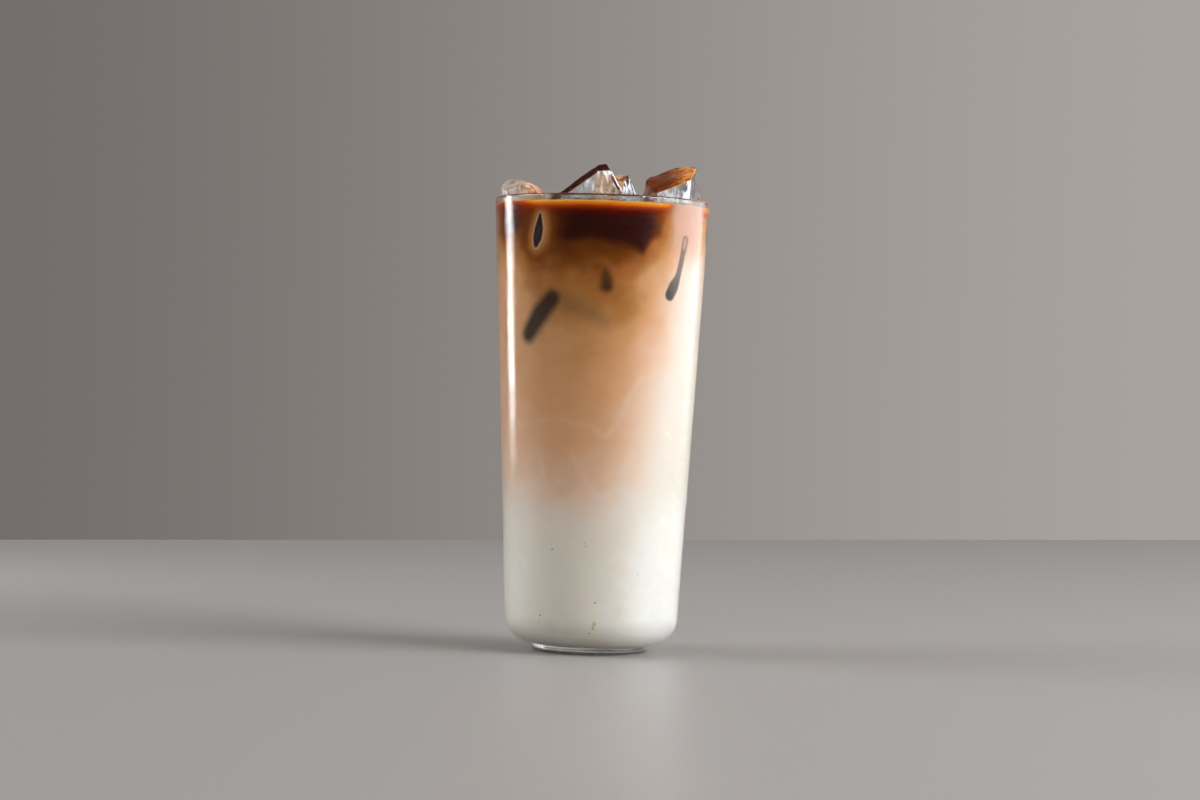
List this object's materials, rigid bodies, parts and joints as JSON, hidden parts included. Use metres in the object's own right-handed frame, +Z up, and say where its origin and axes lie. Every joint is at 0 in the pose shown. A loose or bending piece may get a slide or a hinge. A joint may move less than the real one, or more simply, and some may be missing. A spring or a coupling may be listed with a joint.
{
  "type": "iced latte",
  "caption": "Layered iced latte in a tall tapered glass tumbler: white milk below, tan blend, dark coffee on top, ice standing above the rim.",
  "frame": {"origin": "middle of the foot's underside, on the table", "axes": "+Z up along the glass, -Y towards the viewer, +X to the viewer's right"},
  "size_m": [0.0706, 0.0706, 0.1597],
  "materials": {
    "tumbler_glass": "clear, fire-polished",
    "milk": "liquid, opaque white",
    "milk_and_coffee": "liquid, opaque tan",
    "dark_coffee": "liquid, nearly opaque dark brown",
    "ice": "wet, melting"
  },
  "bodies": {
    "root": {"glass": "tumbler_glass", "milk": "milk", "milk_coffee": "milk_and_coffee", "coffee": "dark_coffee", "ice_left": "ice", "ice_centre": "ice", "ice_back": "ice", "ice_right": "ice"}
  },
  "joints": []
}
